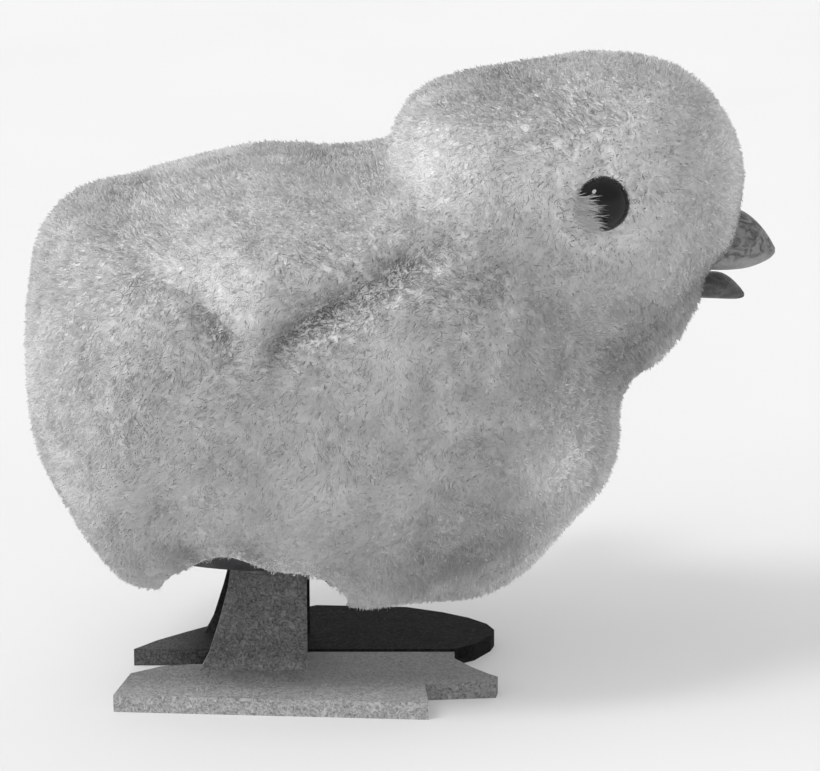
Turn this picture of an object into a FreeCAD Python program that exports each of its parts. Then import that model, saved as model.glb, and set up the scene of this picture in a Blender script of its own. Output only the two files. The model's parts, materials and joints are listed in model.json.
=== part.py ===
import FreeCAD, Part
import math
import os
import Sketcher

# A wind-up hopping chick: a plush covered tin body on two stamped tin feet, with a small
# clockwork motor inside. Millimetres. +X is forward, +Y is the chick's left, +Z is up, and the
# floor is Z = 0. The mid-plane of the toy is Y = 0.

V = FreeCAD.Vector
doc = FreeCAD.newDocument("hopping_chick")
sheet = doc.addObject("Spreadsheet::Sheet", "sizes")

SIZES = {
    # Egg shaped solids the soft body is blended from: middle, half sizes and squareness
    "body_x": -7.2, "body_z": 29.7, "body_half_x": 27.8, "body_half_y": 20.6,
    "body_half_z": 21.9, "body_power": 2.9, "body_ring_power": 2.3, "body_lift": 1.8,
    "head_x": 15.8, "head_z": 47.4, "head_half_x": 16.5, "head_half_y": 13.4,
    "head_half_z": 13.1, "head_power": 2.5, "head_ring_power": 2.1, "head_lift": 0.0,
    "throat_x": 15.5, "throat_z": 34.8, "throat_half_x": 10.6, "throat_half_y": 11.0,
    "throat_half_z": 8.0, "throat_power": 2.1, "throat_ring_power": 2.0, "throat_lift": 0.0,
    # Layers, measured inward from the outside of the plush
    "plush_thick": 1.6, "shell_outside": 1.9, "shell_inside": 2.5, "belly_inside": 2.8,
    "seam_gap": 0.05,
    # Wings: a second layer of plush lying on the back
    "wing_gap": 0.25, "wing_outside": 1.7, "wing_edge_y": 8.5,
    # Opening for the legs and the plate that closes it
    "hatch_back": -22.3, "hatch_front": -6.7, "hatch_top": 14.0, "hatch_round": 3.0,
    "belly_z": 14.3, "belly_thick": 0.5, "belly_back": -25.5, "belly_front": -4.0,
    "belly_half_y": 12.5,
    "leg_slot_back": -18.1, "leg_slot_front": -7.1, "leg_slot_in": 4.7, "leg_slot_out": 6.5,
    # Eyes: glass beads with a shank and a washer inside the head
    "eye_x": 18.7, "eye_z": 49.5, "eye_y": 11.9, "eye_radius": 2.65, "eye_cut": -6.5,
    "eye_hole": 2.85, "eye_shank": 0.6, "eye_shank_hole": 0.8, "eye_shank_in": 9.1,
    "eye_washer_in": 9.4, "eye_washer_out": 9.8, "eye_washer_radius": 1.6,
    "eye_washer_bore": 0.64,
    # Openings for the beak
    "beak_hole": 3.75, "beak_hole_z": 43.1, "lower_beak_hole": 2.7, "lower_beak_hole_z": 39.0,
    "beak_hole_x": 24.0,
    # Motor frame
    "plate_in": 3.8, "plate_thick": 0.5, "pillar_radius": 1.5, "pillar_bore": 0.8,
    "screw_radius": 0.75, "screw_head": 1.7, "screw_head_thick": 1.0, "screw_seat": 9.5,
    "screw_head_hole": 2.0, "screw_hole": 0.8, "screw_tip": 9.5, "boss_radius": 2.8,
    "boss_gap": 0.05,
    # Arbors, by their place in the train
    "main_x": 3.0, "main_z": 29.5, "main_radius": 1.2,
    "second_x": -7.604, "second_z": 33.26, "second_radius": 0.7,
    "crank_x": -12.5, "crank_z": 25.0, "crank_radius": 0.8,
    "escape_x": -17.4, "escape_z": 30.8, "escape_radius": 0.6,
    "pallet_x": -18.2, "pallet_z": 36.8, "pallet_radius": 0.6,
    "journal_gap": 0.05, "wheel_gap": 0.02, "arbor_end": 4.6,
    # Gears
    "coarse": 0.5, "fine": 0.4,
    "great_teeth": 36, "second_pinion_teeth": 9, "second_teeth": 40, "crank_pinion_teeth": 8,
    "crank_gear_teeth": 30, "escape_pinion_teeth": 8,
    "tooth_top": 0.8, "tooth_bottom": 1.15, "tooth_root_half": 0.85, "tooth_tip_half": 0.42,
    "great_y": 2.4, "great_width": 0.7, "second_pinion_y": 2.2, "second_pinion_width": 1.2,
    "second_y": -3.6, "second_width": 0.5, "crank_pinion_y": -3.7, "crank_pinion_width": 0.8,
    "crank_gear_y": -2.2, "crank_gear_width": 0.6, "escape_pinion_y": -2.5,
    "escape_pinion_width": 1.2,
    "escape_disc": 2.6, "escape_tip": 4.0, "escape_teeth": 8, "escape_y": 0.0,
    "escape_width": 0.6,
    "ratchet_disc": 2.75, "ratchet_tip": 3.4, "ratchet_teeth": 12, "ratchet_y": 1.55,
    "ratchet_width": 0.6,
    # Click, its rivet and its spring, on the great wheel
    "click_y": 1.55, "click_width": 0.6, "click_above": 5.3, "click_hub": 0.95,
    "rivet_radius": 0.45, "rivet_bore": 0.5, "rivet_back": 1.35, "rivet_front": 3.3,
    # Mainspring
    "spring_in": 2.2, "spring_out": 8.5, "spring_turns": 6.0, "spring_thick": 0.35,
    "spring_y": -2.7, "spring_width": 3.8,
    # Pallet
    "pallet_y": -0.1, "pallet_width": 0.8, "pallet_hub": 1.2,
    # Cranks
    "throw": 1.2, "disc_y": 4.45, "disc_thick": 0.6, "disc_radius": 2.7, "pin_radius": 0.6,
    "pin_end": 6.7, "washer_y": 6.1, "washer_thick": 0.4, "washer_radius": 1.3,
    "washer_bore": 0.62, "guide_z": 17.0, "guide_radius": 0.8, "guide_end": 6.7,
    "clip_radius": 2.9,
    # Feet and legs
    "tin": 0.6, "sole_height": 1.7, "leg_in": 5.3, "leg_top": 28.6, "leg_pin_hole": 0.65,
    "guide_hole": 2.1,
    # Key
    "key_start": 21.7, "key_stem": 2.3, "key_stem_end": 26.4, "key_bore": 1.22,
    "key_bore_end": 25.8, "key_thick": 1.2, "key_lobe": 4.2, "key_lobe_y": 28.6,
    "key_lobe_z": 4.3, "key_eye": 2.1, "key_end": 31.2, "key_web": 2.6,
    "main_arbor_end": 25.5, "eyelet_bore": 1.5, "eyelet_radius": 2.5, "eyelet_in": 17.3,
    "eyelet_out": 21.3, "eyelet_flange": 3.6, "eyelet_flange_in": 20.75,
}
for row, (name, number) in enumerate(SIZES.items(), start=1):
    sheet.set("A" + str(row), name)
    sheet.set("B" + str(row), str(number))
    sheet.setAlias("B" + str(row), name)
doc.recompute()

nodes = []


def size(text):
    """The value of a size, or of a sum of sizes such as 'plate_in + plate_thick'."""
    return float(sheet.evalExpression(text))


def bound(text):
    """The same sum as other objects write it, with the sheet's name before each size."""
    words = []
    for word in text.replace("(", " ( ").replace(")", " ) ").split():
        words.append("sizes." + word if word in SIZES else word)
    return " ".join(words)


def tie(thing, path, text):
    """Binds one property of an object to the sheet."""
    thing.setExpression(path, bound(text))


def keep(thing):
    """Counts an object as one of the toy's pieces."""
    nodes.append(thing)
    return thing


# ---- Part primitives -------------------------------------------------------------------------


def rod(label, radius, y_from, y_to, x, z):
    """A round bar along Y."""
    bar = doc.addObject("Part::Cylinder", label)
    bar.Placement = FreeCAD.Placement(V(0, 0, 0), FreeCAD.Rotation(V(1, 0, 0), -90))
    tie(bar, "Radius", radius)
    tie(bar, "Height", "(" + y_to + ") - (" + y_from + ")")
    tie(bar, "Placement.Base.x", x)
    tie(bar, "Placement.Base.y", y_from)
    tie(bar, "Placement.Base.z", z)
    return bar


def ring(label, radius, bore, y_from, y_to, x, z):
    """A round bar along Y with a hole through it."""
    outside = rod(label + "_outside", radius, y_from, y_to, x, z)
    inside = rod(label + "_inside", bore, "(" + y_from + ") - 1", "(" + y_to + ") + 1", x, z)
    cut = doc.addObject("Part::Cut", label)
    cut.Base = outside
    cut.Tool = inside
    return cut


def together(label, pieces):
    """Separate solids that share one piece, such as a set of like screws."""
    group = doc.addObject("Part::Compound", label)
    group.Links = pieces
    return group


def joined(label, first, second):
    whole = doc.addObject("Part::Fuse", label)
    whole.Base = first
    whole.Tool = second
    return whole


# ---- PartDesign bodies -----------------------------------------------------------------------


def new_body(label):
    body = doc.addObject("PartDesign::Body", label)
    body.Label = label
    return body


def place(body, x, y, z, turn=0.0):
    """Puts a body at a point, turned about Y by an angle in degrees."""
    body.Placement = FreeCAD.Placement(V(0, 0, 0), FreeCAD.Rotation(V(0, 1, 0), turn))
    tie(body, "Placement.Base.x", x)
    tie(body, "Placement.Base.y", y)
    tie(body, "Placement.Base.z", z)


def new_sketch(body, name, role="XZ_Plane", lift=None):
    """A sketch on one of the body's own planes, moved along its normal by lift."""
    sketch = body.newObject("Sketcher::SketchObject", body.Name + "_" + name)
    plane = [p for p in body.Origin.OriginFeatures if p.Role == role][0]
    sketch.AttachmentSupport = [(plane, "")]
    sketch.MapMode = "FlatFace"
    if lift:
        tie(sketch, "AttachmentOffset.Base.z", lift)
    return sketch


def fix_point(sketch, shape, point, across, up):
    """Holds one point of a sketch at a place given by two sums of sizes."""
    for kind, axis, text in (("DistanceX", -2, across), ("DistanceY", -1, up)):
        number = size(text)
        if abs(number) < 1e-9:
            sketch.addConstraint(Sketcher.Constraint("PointOnObject", shape, point, axis))
        else:
            held = sketch.addConstraint(
                Sketcher.Constraint(kind, -1, 1, shape, point, number))
            if any(word in SIZES for word in text.replace("(", " ").replace(")", " ").split()):
                tie(sketch, "Constraints[" + str(held) + "]", text)


def add_circle(sketch, across, up, radius):
    shape = sketch.addGeometry(
        Part.Circle(V(size(across), size(up), 0), V(0, 0, 1), size(radius)), False)
    held = sketch.addConstraint(Sketcher.Constraint("Radius", shape, size(radius)))
    tie(sketch, "Constraints[" + str(held) + "]", radius)
    fix_point(sketch, shape, 3, across, up)


def add_outline(sketch, corners):
    """A closed outline of straight edges; each corner is a pair of sums or plain numbers."""
    corners = [(str(across), str(up)) for across, up in corners]
    places = [V(size(across), size(up), 0) for across, up in corners]
    lines = []
    for start, end in zip(places, places[1:] + places[:1]):
        lines.append(sketch.addGeometry(Part.LineSegment(start, end), False))
    for line, after in zip(lines, lines[1:] + lines[:1]):
        sketch.addConstraint(Sketcher.Constraint("Coincident", line, 2, after, 1))
    for line, (across, up) in zip(lines, corners):
        fix_point(sketch, line, 1, across, up)


def pad(body, sketch, length, toward_plus_y=False, both=False):
    """Raises a sketch. On the XZ plane the normal is -Y, so a pad toward +Y is reversed."""
    raised = body.newObject("PartDesign::Pad", sketch.Name + "_pad")
    raised.Profile = sketch
    raised.Reversed = toward_plus_y
    raised.Midplane = both
    tie(raised, "Length", length)
    sketch.Visibility = False
    return raised


def cut_through(body, sketch):
    """Cuts a sketch right through the body, both ways."""
    hole = body.newObject("PartDesign::Pocket", sketch.Name + "_cut")
    hole.Profile = sketch
    hole.Type = 1
    hole.Midplane = True
    return hole


def around(body, feature, sketch, count):
    """Repeats a feature round the sketch's origin."""
    doc.recompute()
    pattern = body.newObject("PartDesign::PolarPattern", feature.Name + "_pattern")
    pattern.Originals = [feature]
    pattern.Axis = (sketch, ["N_Axis"])
    pattern.Angle = 360
    tie(pattern, "Occurrences", count)
    body.Tip = pattern
    return pattern


def toothed_wheel(label, disc, tooth, count, width, bore):
    """A disc with one drawn tooth repeated round it, and a hole for its arbor."""
    body = new_body(label)
    blank = new_sketch(body, "blank")
    add_circle(blank, "0", "0", disc)
    add_circle(blank, "0", "0", bore)
    pad(body, blank, width, toward_plus_y=True)
    doc.recompute()
    outline = new_sketch(body, "tooth")
    add_outline(outline, tooth)
    raised = pad(body, outline, width, toward_plus_y=True)
    around(body, raised, outline, count)
    return body


def gear(label, teeth, module, width, bore):
    """A spur wheel with straight sided teeth; its first tooth points up."""
    disc = teeth + " * " + module + " / 2 - tooth_bottom * " + module
    tip = teeth + " * " + module + " / 2 + tooth_top * " + module
    root_half = "tooth_root_half * " + module
    tip_half = "tooth_tip_half * " + module
    low = disc + " - 0.25 * " + module
    tooth = [("0 - " + root_half, low), (root_half, low), (tip_half, tip),
             ("0 - " + tip_half, tip)]
    return toothed_wheel(label, disc, tooth, teeth, width, bore)


# ---- Soft body and tin shell -----------------------------------------------------------------

RING_POINTS = 24
STATIONS = 7  # cross sections from each end of an egg to its middle
END_ANGLE = math.radians(2.5)  # where the first and last cross sections lie
OUTSIDE = 40.0  # further out than any surface of the toy
FREE_WIDTH = 0.2  # room round the eyelet in the plush


def power(number, squareness):
    return math.copysign(abs(number) ** (2.0 / squareness), number)


def egg(name, inset):
    """One egg shaped solid, lofted through rings set across X, inset from its full size."""
    middle_x = size(name + "_x")
    middle_z = size(name + "_z")
    half_x = size(name + "_half_x") - inset
    half_y = size(name + "_half_y") - inset
    half_z = size(name + "_half_z") - inset
    rings = []
    for station in range(-STATIONS, STATIONS + 1):
        angle = math.pi / 2 + (math.pi / 2 - END_ANGLE) * station / STATIONS
        along = -power(math.cos(angle), size(name + "_power"))
        share = power(math.sin(angle), size(name + "_power"))
        lift = size(name + "_lift") * along * along
        points = []
        for step in range(RING_POINTS):
            turn = 2 * math.pi * step / RING_POINTS
            points.append(V(
                middle_x + half_x * along,
                half_y * share * power(math.cos(turn), size(name + "_ring_power")),
                middle_z + lift + half_z * share * power(math.sin(turn), size(name + "_ring_power"))))
        curve = Part.BSplineCurve()
        curve.interpolate(Points=points, PeriodicFlag=True)
        rings.append(Part.Wire([curve.toShape()]))
    return Part.makeLoft(rings, True, False)


def soft_form(inset):
    """Body, head and throat in one solid."""
    return egg("body", inset).fuse([egg("head", inset), egg("throat", inset)])


def bar_y(x, z, radius, y_from, y_to):
    low, high = min(y_from, y_to), max(y_from, y_to)
    return Part.makeCylinder(radius, high - low, V(x, low, z), V(0, 1, 0))


def prism_y(corners, y_from, y_to):
    points = [V(x, y_from, z) for x, z in corners]
    return Part.Face(Part.makePolygon(points + points[:1])).extrude(V(0, y_to - y_from, 0))


def leg_hatch():
    """The space cut out of the underside for the legs, rounded at the top."""
    back, front, top = size("hatch_back"), size("hatch_front"), size("hatch_top")
    box = Part.makeBox(front - back, 60, top + 5, V(back, -30, -5))
    edges = [e for e in box.Edges
             if abs(e.CenterOfMass.z - top) < 1e-6 and abs(e.CenterOfMass.y) < 1e-6]
    return box.makeFillet(size("hatch_round"), edges)


def beak_hatch():
    start = size("beak_hole_x")
    upper = Part.makeCylinder(size("beak_hole"), 20, V(start, 0, size("beak_hole_z")), V(1, 0, 0))
    lower = Part.makeCylinder(
        size("lower_beak_hole"), 20, V(start, 0, size("lower_beak_hole_z")), V(1, 0, 0))
    return upper.fuse(lower)


def free_form(label, shape):
    """A piece whose shape follows the egg forms and is worked out from the sheet's sizes."""
    made = doc.addObject("Part::Feature", label)
    made.Shape = shape
    made.Placement = FreeCAD.Placement(V(0, 0, 0), FreeCAD.Rotation())
    return keep(made)


def build_plush_cover():
    cover = soft_form(0).cut(soft_form(size("plush_thick")))
    holes = [leg_hatch(), beak_hatch()]
    for side in (-1, 1):
        holes.append(bar_y(size("eye_x"), size("eye_z"), size("eye_hole"), side * size("plate_in"),
                           side * OUTSIDE))
    eyelet = size("eyelet_radius") + FREE_WIDTH
    holes.append(bar_y(size("main_x"), size("main_z"), eyelet, size("plate_in"), OUTSIDE))
    free_form("plush_cover", cover.cut(holes))


# Wing outline in X and Z, from its front edge down to the tip and back up along the rump
WING_OUTLINE = [(1.6, 46.4), (-2.6, 43.2), (-7.0, 41.2), (-10.6, 39.4), (-12.8, 38.2),
                (-14.2, 38.4), (-16.2, 40.0), (-18.8, 41.8), (-22.4, 43.4), (-25.2, 45.6),
                (-26.6, 50.0), (-10.0, 54.0), (1.0, 54.0)]


def build_wings():
    layer = egg("body", -size("wing_outside")).cut(soft_form(-size("wing_gap")))
    for label, side in (("wing_right", -1), ("wing_left", 1)):
        region = prism_y(WING_OUTLINE, side * size("wing_edge_y"), side * OUTSIDE)
        free_form(label, layer.common(region))


PILLARS = [(-21.5, 18.2), (10.4, 18.8), (11.4, 40.0), (-21.5, 39.4)]


def build_body_shells():
    whole = soft_form(size("shell_outside"))
    hollow = whole.cut(soft_form(size("shell_inside")))
    core = soft_form(size("shell_outside + shell_inside") / 2)
    plate_in = size("plate_in")
    plate_face = size("plate_in + plate_thick + boss_gap")
    for label, side in (("body_shell_right", -1), ("body_shell_left", 1)):
        low = -OUTSIDE if side < 0 else size("seam_gap")
        corner = V(-2 * OUTSIDE, low, -OUTSIDE)
        side_box = Part.makeBox(4 * OUTSIDE, OUTSIDE - size("seam_gap"), 4 * OUTSIDE, corner)
        half = hollow.common(side_box)
        bosses = []
        for x, z in PILLARS:
            boss = bar_y(x, z, size("boss_radius"), side * plate_face, side * OUTSIDE)
            bosses.append(boss.common(core))
        half = half.fuse(bosses)
        holes = [leg_hatch(), beak_hatch()]
        holes.append(bar_y(size("eye_x"), size("eye_z"), size("eye_shank_hole"), side * plate_in,
                           side * OUTSIDE))
        for x, z in PILLARS:
            if side < 0:
                holes.append(bar_y(x, z, size("screw_hole"), -plate_in, -OUTSIDE))
                holes.append(bar_y(x, z, size("screw_head_hole"), -size("screw_seat"), -OUTSIDE))
            else:
                blind_end = size("screw_tip + screw_head_thick / 2")
                holes.append(bar_y(x, z, size("screw_hole"), plate_in, blind_end))
        if side > 0:
            eyelet = size("eyelet_radius") + FREE_WIDTH / 2
            holes.append(bar_y(size("main_x"), size("main_z"), eyelet, plate_in, OUTSIDE))
        free_form(label, half.cut(holes))


def build_belly_plate():
    back, front = size("belly_back"), size("belly_front")
    half_y, low = size("belly_half_y"), size("belly_z")
    plate = Part.makeBox(front - back, 2 * half_y, size("belly_thick"), V(back, -half_y, low))
    plate = plate.common(soft_form(size("belly_inside")))
    slots = []
    for side in (-1, 1):
        first = min(side * size("leg_slot_in"), side * size("leg_slot_out"))
        width = size("leg_slot_out") - size("leg_slot_in")
        length = size("leg_slot_front") - size("leg_slot_back")
        slots.append(Part.makeBox(length, width, 5, V(size("leg_slot_back"), first, low - 2)))
    free_form("belly_plate", plate.cut(slots))


# ---- Face ------------------------------------------------------------------------------------


def build_eyes():
    washers = []
    for label, side in (("eye_right", -1), ("eye_left", 1)):
        bead = doc.addObject("Part::Sphere", label + "_bead")
        tilt = 90 if side < 0 else -90
        bead.Placement = FreeCAD.Placement(V(0, 0, 0), FreeCAD.Rotation(V(1, 0, 0), tilt))
        tie(bead, "Radius", "eye_radius")
        tie(bead, "Angle1", "eye_cut")
        tie(bead, "Placement.Base.x", "eye_x")
        tie(bead, "Placement.Base.y", str(side) + " * eye_y")
        tie(bead, "Placement.Base.z", "eye_z")
        if side < 0:
            shank = rod(label + "_shank", "eye_shank", "0 - eye_y", "0 - eye_shank_in", "eye_x", "eye_z")
            washers.append(ring(label + "_washer", "eye_washer_radius", "eye_washer_bore",
                                "0 - eye_washer_out", "0 - eye_washer_in", "eye_x", "eye_z"))
        else:
            shank = rod(label + "_shank", "eye_shank", "eye_shank_in", "eye_y", "eye_x", "eye_z")
            washers.append(ring(label + "_washer", "eye_washer_radius", "eye_washer_bore",
                                "eye_washer_in", "eye_washer_out", "eye_x", "eye_z"))
        keep(joined(label, bead, shank))
    keep(together("eye_washers", washers))


# Cross sections of the beak halves: X, middle Z, half width, half height
UPPER_BEAK = [(27.4, 42.9, 3.2, 2.5), (29.6, 43.0, 3.4, 2.8), (31.6, 43.15, 3.2, 2.95),
              (33.2, 42.9, 2.5, 2.5), (34.5, 42.5, 1.55, 1.65), (35.3, 42.15, 0.75, 0.85),
              (35.7, 42.0, 0.2, 0.25)]
LOWER_BEAK = [(27.4, 38.6, 2.3, 1.2), (29.6, 38.6, 2.2, 1.2), (31.0, 38.45, 1.7, 1.15),
              (31.9, 38.1, 1.1, 0.85), (32.5, 37.8, 0.6, 0.5), (32.85, 37.65, 0.18, 0.18)]


def build_beak(label, sections):
    body = new_body(label)
    rings = []
    for number, (x, z, half_width, half_height) in enumerate(sections):
        sketch = new_sketch(body, "ring" + str(number), "YZ_Plane")
        sketch.AttachmentOffset = FreeCAD.Placement(V(0, 0, x), FreeCAD.Rotation())
        wide = half_width >= half_height
        long_end = V(half_width, z, 0) if wide else V(0, z + half_height, 0)
        short_end = V(0, z + half_height, 0) if wide else V(half_width, z, 0)
        sketch.addGeometry(Part.Ellipse(long_end, short_end, V(0, z, 0)), False)
        rings.append(sketch)
    loft = body.newObject("PartDesign::AdditiveLoft", label + "_loft")
    loft.Profile = rings[0]
    loft.Sections = rings[1:]
    keep(body)


# ---- Motor frame -----------------------------------------------------------------------------

PLATE_OUTLINE = [(-24.3, 15.2), (11.0, 15.2), (14.4, 21.0), (14.4, 38.0), (12.6, 42.8),
                 (-4.0, 44.0), (-24.3, 42.2)]


def build_motor_plates():
    for label, side in (("motor_plate_right", -1), ("motor_plate_left", 1)):
        body = new_body(label)
        sketch = new_sketch(body, "outline")
        add_outline(sketch, PLATE_OUTLINE)
        for arbor in ("main", "second", "crank", "escape", "pallet"):
            add_circle(sketch, arbor + "_x", arbor + "_z", arbor + "_radius + journal_gap")
        add_circle(sketch, "crank_x", "guide_z", "guide_radius + wheel_gap")
        for x, z in PILLARS:
            add_circle(sketch, str(x), str(z), "pillar_bore")
        pad(body, sketch, "plate_thick", toward_plus_y=side > 0)
        place(body, "0", str(side) + " * plate_in", "0")
        keep(body)


def build_pillars_and_screws():
    pillars = []
    screws = []
    for number, (x, z) in enumerate(PILLARS):
        name = str(number)
        pillars.append(ring("pillar" + name, "pillar_radius", "pillar_bore",
                            "0 - plate_in", "plate_in", str(x), str(z)))
        shaft = rod("screw_shaft" + name, "screw_radius", "0 - screw_seat - 0.5 * screw_head_thick",
                    "screw_tip", str(x), str(z))
        head = rod("screw_head" + name, "screw_head", "0 - screw_seat - screw_head_thick",
                   "0 - screw_seat", str(x), str(z))
        screws.append(joined("screw" + name, head, shaft))
    keep(together("frame_pillars", pillars))
    keep(together("case_screws", screws))


def build_guide():
    keep(rod("guide_rod", "guide_radius", "0 - guide_end", "guide_end", "crank_x", "guide_z"))
    clips = [
        ring("clip_right", "clip_radius", "guide_radius + wheel_gap",
             "0 - washer_y - washer_thick", "0 - washer_y", "crank_x", "guide_z"),
        ring("clip_left", "clip_radius", "guide_radius + wheel_gap",
             "washer_y", "washer_y + washer_thick", "crank_x", "guide_z"),
    ]
    keep(together("guide_clips", clips))


# ---- Wheels and arbors -----------------------------------------------------------------------


def build_arbors():
    keep(rod("winding_arbor", "main_radius", "0 - arbor_end", "main_arbor_end", "main_x", "main_z"))
    keep(rod("second_arbor", "second_radius", "0 - arbor_end", "arbor_end", "second_x", "second_z"))
    keep(rod("crankshaft", "crank_radius", "0 - disc_y - disc_thick", "disc_y + disc_thick",
             "crank_x", "crank_z"))
    keep(rod("escape_arbor", "escape_radius", "0 - arbor_end", "arbor_end", "escape_x", "escape_z"))
    keep(rod("pallet_arbor", "pallet_radius", "0 - arbor_end", "arbor_end", "pallet_x", "pallet_z"))


def mesh_turns(driver, driven, driven_teeth):
    """Turns about Y that put a driver's tooth in a gap of the wheel it drives."""
    bearing = math.degrees(math.atan2(size(driven + "_z") - size(driver + "_z"),
                                      size(driven + "_x") - size(driver + "_x")))
    return 90 - bearing, 90 - (bearing + 180 + 180 / size(driven_teeth))


def build_gears():
    great_turn, second_pinion_turn = mesh_turns("main", "second", "second_pinion_teeth")
    second_turn, crank_pinion_turn = mesh_turns("second", "crank", "crank_pinion_teeth")
    crank_gear_turn, escape_pinion_turn = mesh_turns("crank", "escape", "escape_pinion_teeth")
    wheels = [
        ("great_wheel", "main", "great", "coarse", "main_radius + journal_gap", great_turn),
        ("second_pinion", "second", "second_pinion", "coarse", "second_radius + wheel_gap",
         second_pinion_turn),
        ("second_wheel", "second", "second", "fine", "second_radius + wheel_gap", second_turn),
        ("crank_pinion", "crank", "crank_pinion", "fine", "crank_radius + wheel_gap",
         crank_pinion_turn),
        ("crank_gear", "crank", "crank_gear", "fine", "crank_radius + wheel_gap",
         crank_gear_turn),
        ("escape_pinion", "escape", "escape_pinion", "fine", "escape_radius + wheel_gap",
         escape_pinion_turn),
    ]
    for label, arbor, name, module, bore, turn in wheels:
        body = gear(label, name + "_teeth", module, name + "_width", bore)
        if label == "great_wheel":
            rivet_hole = new_sketch(body, "rivet_hole")
            lean = math.radians(turn)
            reach = size("click_above")
            add_circle(rivet_hole, str(round(-reach * math.sin(lean), 5)),
                       str(round(reach * math.cos(lean), 5)), "rivet_radius + wheel_gap")
            body.Tip = cut_through(body, rivet_hole)
        place(body, arbor + "_x", name + "_y", arbor + "_z", turn)
        keep(body)


def build_escape_wheel():
    tooth = [("-0.9", "escape_disc - 0.2"), ("0.9", "escape_disc - 0.2"), ("0.35", "escape_tip"),
             ("-0.35", "escape_tip")]
    body = toothed_wheel("escape_wheel", "escape_disc", tooth, "escape_teeth", "escape_width",
                         "escape_radius + wheel_gap")
    place(body, "escape_x", "escape_y", "escape_z")
    keep(body)


def build_pallet():
    body = new_body("pallet")
    hub = new_sketch(body, "hub")
    add_circle(hub, "0", "0", "pallet_hub")
    pad(body, hub, "pallet_width", toward_plus_y=True)
    arms = new_sketch(body, "arms")
    add_outline(arms, [(-0.9, 0.6), (-3.7, -1.6), (-3.9, -3.3), (-3.3, -3.5), (-2.6, -2.0),
                       (0.0, -0.9), (3.5, -1.7), (4.1, -3.3), (4.7, -3.1), (4.4, -1.0),
                       (0.9, 0.6)])
    pad(body, arms, "pallet_width", toward_plus_y=True)
    bore = new_sketch(body, "bore")
    add_circle(bore, "0", "0", "pallet_radius + wheel_gap")
    body.Tip = cut_through(body, bore)
    place(body, "pallet_x", "pallet_y", "pallet_z")
    keep(body)


def build_ratchet():
    """Saw teeth let the key turn one way past the click; the great wheel carries the click."""
    tooth = [("-0.75", "ratchet_disc - 0.4"), ("0.75", "ratchet_disc - 0.4"),
             ("0.6", "ratchet_tip"), ("0.45", "ratchet_tip")]
    body = toothed_wheel("ratchet_wheel", "ratchet_disc", tooth, "ratchet_teeth",
                         "ratchet_width", "main_radius + wheel_gap")
    place(body, "main_x", "ratchet_y", "main_z")
    keep(body)

    click = new_body("click")
    arm = new_sketch(click, "arm")
    add_outline(arm, [(-0.5, -0.8), (2.1, -2.4), (1.9, -1.1), (0.7, 0.6), (-0.7, 0.6)])
    pad(click, arm, "click_width", toward_plus_y=True)
    hub = new_sketch(click, "hub")
    add_circle(hub, "0", "0", "click_hub")
    pad(click, hub, "click_width", toward_plus_y=True)
    bore = new_sketch(click, "bore")
    add_circle(bore, "0", "0", "rivet_bore")
    click.Tip = cut_through(click, bore)
    place(click, "main_x", "click_y", "main_z + click_above")
    keep(click)
    keep(rod("click_rivet", "rivet_radius", "rivet_back", "rivet_front", "main_x",
             "main_z + click_above"))

    spring = new_body("click_spring")
    strip = new_sketch(spring, "strip")
    add_outline(strip, [(-4.6, 0.2), (-4.3, 0.2), (-3.9, 1.3), (1.6, 1.25), (1.6, 1.5),
                        (-4.1, 1.6)])
    pad(spring, strip, "click_width", toward_plus_y=True)
    place(spring, "main_x", "click_y", "main_z + click_above")
    keep(spring)


POINTS_PER_TURN = 16


def build_mainspring():
    """A flat strip wound in a spiral; its tail runs out to the lower front pillar."""
    turns, thick = size("spring_turns"), size("spring_thick")
    first, last = size("spring_in"), size("spring_out")
    pillar_x, pillar_z = PILLARS[1]
    end_angle = math.atan2(pillar_z - size("main_z"), pillar_x - size("main_x"))
    inner, outer = [], []
    steps = int(turns * POINTS_PER_TURN)
    for step in range(steps + 1):
        share = step / steps
        radius = first + (last - first) * share
        angle = end_angle - 2 * math.pi * turns * (1 - share)
        for line, reach in ((inner, radius), (outer, radius + thick)):
            line.append(V(size("main_x") + reach * math.cos(angle), size("spring_y"),
                          size("main_z") + reach * math.sin(angle)))
    inner_curve = Part.BSplineCurve()
    inner_curve.interpolate(Points=inner)
    outer_curve = Part.BSplineCurve()
    outer_curve.interpolate(Points=outer)
    edges = [inner_curve.toShape(), Part.makeLine(inner[-1], outer[-1]), outer_curve.toShape(),
             Part.makeLine(outer[0], inner[0])]
    strip = Part.Face(Part.Wire(Part.sortEdges(edges)[0])).extrude(V(0, size("spring_width"), 0))
    free_form("mainspring", strip)


def build_cranks():
    for label, side in (("crank_disc_right", -1), ("crank_disc_left", 1)):
        body = new_body(label)
        disc = new_sketch(body, "disc")
        add_circle(disc, "0", "0", "disc_radius")
        pad(body, disc, "disc_thick", toward_plus_y=side > 0)
        pin = new_sketch(body, "pin")
        add_circle(pin, "0", "throw", "pin_radius")
        pad(body, pin, "pin_end - disc_y", toward_plus_y=side > 0)
        bore = new_sketch(body, "bore")
        add_circle(bore, "0", "0", "crank_radius + wheel_gap")
        hole = body.newObject("PartDesign::Pocket", label + "_bore_cut")
        hole.Profile = bore
        hole.Reversed = side < 0
        tie(hole, "Length", "disc_thick")
        place(body, "crank_x", str(side) + " * disc_y", "crank_z")
        keep(body)
    washers = [
        ring("washer_right", "washer_radius", "washer_bore", "0 - washer_y - washer_thick",
             "0 - washer_y", "crank_x", "crank_z + throw"),
        ring("washer_left", "washer_radius", "washer_bore", "washer_y",
             "washer_y + washer_thick", "crank_x", "crank_z + throw"),
    ]
    keep(together("leg_washers", washers))


# ---- Feet ------------------------------------------------------------------------------------

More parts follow.
